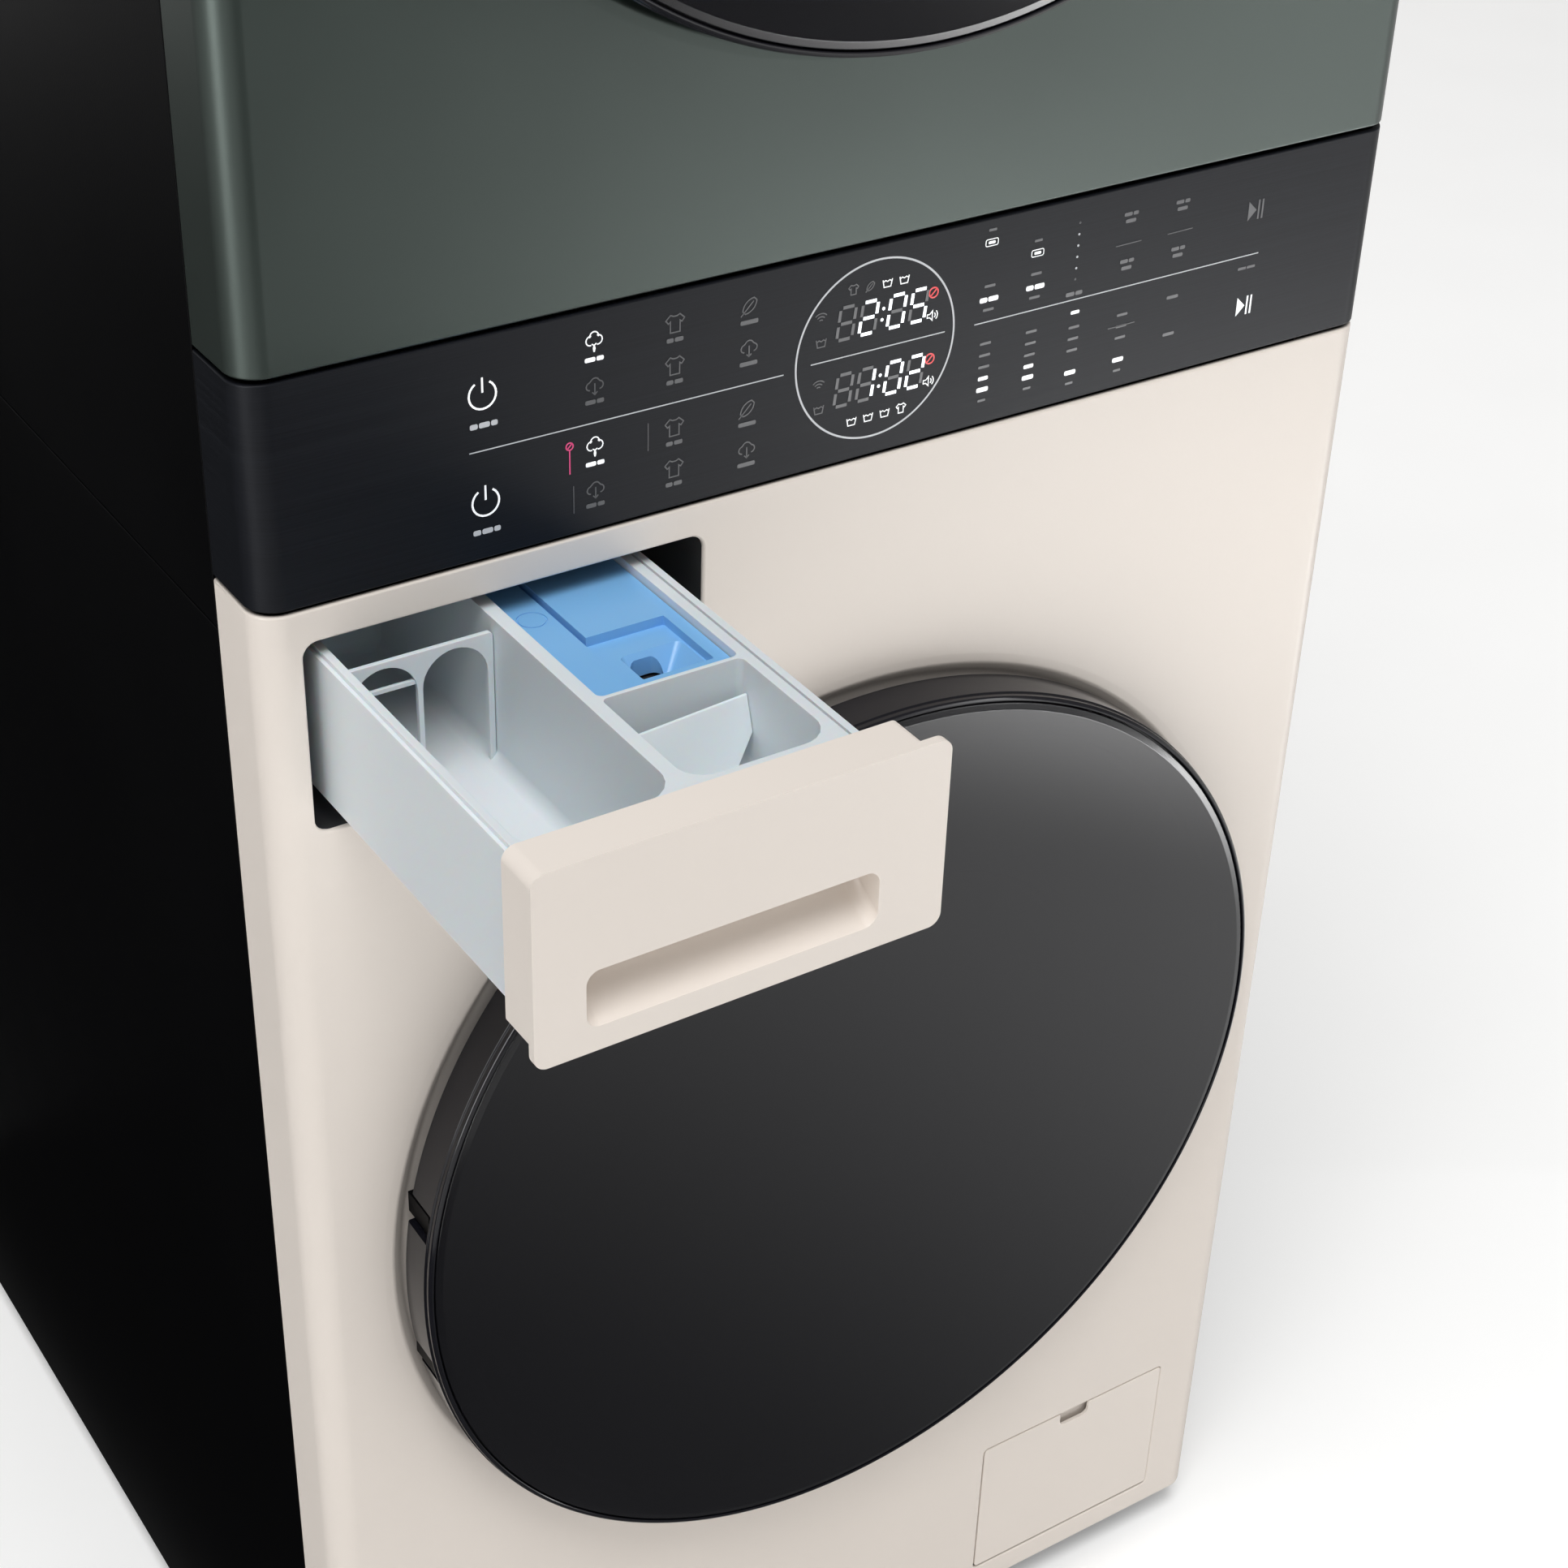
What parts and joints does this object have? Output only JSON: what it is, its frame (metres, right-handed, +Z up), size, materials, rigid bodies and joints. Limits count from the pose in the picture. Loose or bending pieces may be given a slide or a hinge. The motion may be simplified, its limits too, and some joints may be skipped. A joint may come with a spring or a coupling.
{
  "type": "stacked washer and dryer",
  "caption": "Free-standing laundry tower: front-load washer below, dryer above, one control panel between, with round doors and a pulled-out detergent drawer.",
  "frame": {"origin": "on the floor, under the middle of the object's whole box with the detergent drawer open as drawn", "axes": "+Z up; -Y is the front, with the doors and the drawer; +X to the right seen from the front"},
  "size_m": [0.6, 0.82, 1.655],
  "materials": {
    "cream_enamel": "satin",
    "green_steel": "satin",
    "black_enamel": "satin",
    "panel_black": "satin",
    "gloss_black": "gloss",
    "tinted_glass": "gloss",
    "clear_glass": "gloss",
    "pale_plastic": "satin",
    "blue_plastic": "satin",
    "dark_plastic": "matte",
    "grey_plastic": "matte",
    "grey_rubber": "matte",
    "black_rubber": "matte",
    "galvanised": "satin",
    "stainless": "satin",
    "bearing_steel": "polished",
    "cast_aluminium": "matte",
    "fin_aluminium": "satin",
    "concrete": "matte",
    "circuit_green": "satin",
    "copper": "satin"
  },
  "bodies": {
    "cabinet": {"base_pan": "galvanised", "compressor": "black_enamel", "control_board": "circuit_green", "control_panel": "panel_black", "counterweight": "concrete", "damper_left": "dark_plastic", "damper_right": "dark_plastic", "dispenser_housing": "dark_plastic", "door_gasket": "grey_rubber", "drain_pump": "dark_plastic", "drum_bearing": "bearing_steel", "dryer_base": "dark_plastic", "dryer_belt": "black_rubber", "dryer_door_hinge": "black_enamel", "dryer_front_panel": "green_steel", "dryer_left_side": "black_enamel", "dryer_motor": "galvanised", "dryer_right_side": "black_enamel", "heat_exchanger": "fin_aluminium", "inlet_valve": "grey_plastic", "motor_stator": "copper", "rear_panel": "galvanised", "sump_hose": "black_rubber", "suspension_spring_left": "bearing_steel", "suspension_spring_right": "bearing_steel", "top_cover": "black_enamel", "tub_front": "grey_plastic", "tub_rear": "grey_plastic", "washer_door_hinge": "black_enamel", "washer_door_lock": "dark_plastic", "washer_front_panel": "cream_enamel", "washer_left_side": "black_enamel", "washer_right_side": "black_enamel"},
    "washer_door": {"washer_door_ring": "gloss_black", "washer_door_cover": "tinted_glass", "washer_door_frame": "grey_plastic", "washer_door_bowl": "clear_glass"},
    "dryer_door": {"dryer_door_ring": "gloss_black", "dryer_door_cover": "tinted_glass", "dryer_door_frame": "grey_plastic"},
    "drawer": {"drawer_front": "cream_enamel", "drawer_tray": "pale_plastic", "softener_insert": "blue_plastic", "liquid_insert": "pale_plastic"},
    "washer_rotor": {"wash_drum": "stainless", "drum_lifter_1": "grey_plastic", "drum_lifter_2": "grey_plastic", "drum_lifter_3": "grey_plastic", "drum_spider": "cast_aluminium", "motor_rotor": "galvanised"},
    "dryer_rotor": {"dryer_drum": "stainless"},
    "dryer_fan": {"blower_wheel": "dark_plastic"},
    "impeller": {"pump_impeller": "grey_plastic"},
    "filter_cap": {"drain_filter": "grey_plastic"},
    "flap": {"service_flap": "cream_enamel"},
    "lint_screen": {"lint_filter": "grey_plastic"},
    "foot_fl": {"foot_front_left": "black_rubber"},
    "foot_fr": {"foot_front_right": "black_rubber"},
    "foot_rl": {"foot_rear_left": "black_rubber"},
    "foot_rr": {"foot_rear_right": "black_rubber"}
  },
  "joints": [
    {"name": "washer_door_swing", "type": "hinge", "parent": "cabinet", "child": "washer_door", "pos_m": [-0.2455, -0.2365, 0.472], "axis": [0, 0, -1], "range_deg": [0, 115]},
    {"name": "dryer_door_swing", "type": "hinge", "parent": "cabinet", "child": "dryer_door", "pos_m": [-0.2455, -0.2365, 1.3], "axis": [0, 0, -1], "range_deg": [0, 115]},
    {"name": "drawer_slide", "type": "slide", "parent": "cabinet", "child": "drawer", "axis": [0, -1, 0], "range_m": [-0.19, 0.01]},
    {"name": "wash_drum_spin", "type": "hinge", "parent": "cabinet", "child": "washer_rotor", "pos_m": [0, 0.08, 0.472], "axis": [0, 1, 0], "continuous": true},
    {"name": "dryer_drum_spin", "type": "hinge", "parent": "cabinet", "child": "dryer_rotor", "pos_m": [0, 0.08, 1.3], "axis": [0, 1, 0], "continuous": true},
    {"name": "dryer_motor_spin", "type": "hinge", "parent": "cabinet", "child": "dryer_fan", "pos_m": [0.17, 0.045, 0.935], "axis": [0, 1, 0], "continuous": true},
    {"name": "pump_impeller_spin", "type": "hinge", "parent": "cabinet", "child": "impeller", "pos_m": [0.193, -0.115, 0.092], "axis": [0, 1, 0], "continuous": true},
    {"name": "drain_filter_twist", "type": "hinge", "parent": "cabinet", "child": "filter_cap", "pos_m": [0.193, -0.19, 0.092], "axis": [0, -1, 0], "range_deg": [0, 540]},
    {"name": "service_flap_hinge", "type": "hinge", "parent": "cabinet", "child": "flap", "pos_m": [0.193, -0.214, 0.047], "axis": [1, 0, 0], "range_deg": [0, 95]},
    {"name": "lint_filter_slide", "type": "slide", "parent": "cabinet", "child": "lint_screen", "axis": [0, 0, 1], "range_m": [0, 0.12]},
    {"name": "foot_fl_turn", "type": "hinge", "parent": "cabinet", "child": "foot_fl", "pos_m": [-0.25, -0.17, 0.01], "axis": [0, 0, 1], "range_deg": [-720, 720]},
    {"name": "foot_fr_turn", "type": "hinge", "parent": "cabinet", "child": "foot_fr", "pos_m": [0.25, -0.17, 0.01], "axis": [0, 0, 1], "range_deg": [-720, 720]},
    {"name": "foot_rl_turn", "type": "hinge", "parent": "cabinet", "child": "foot_rl", "pos_m": [-0.25, 0.34, 0.01], "axis": [0, 0, 1], "range_deg": [-720, 720]},
    {"name": "foot_rr_turn", "type": "hinge", "parent": "cabinet", "child": "foot_rr", "pos_m": [0.25, 0.34, 0.01], "axis": [0, 0, 1], "range_deg": [-720, 720]}
  ],
  "couplings": [
    {"joint": "dryer_motor_spin", "follows": "dryer_drum_spin", "ratio": 21.2}
  ]
}
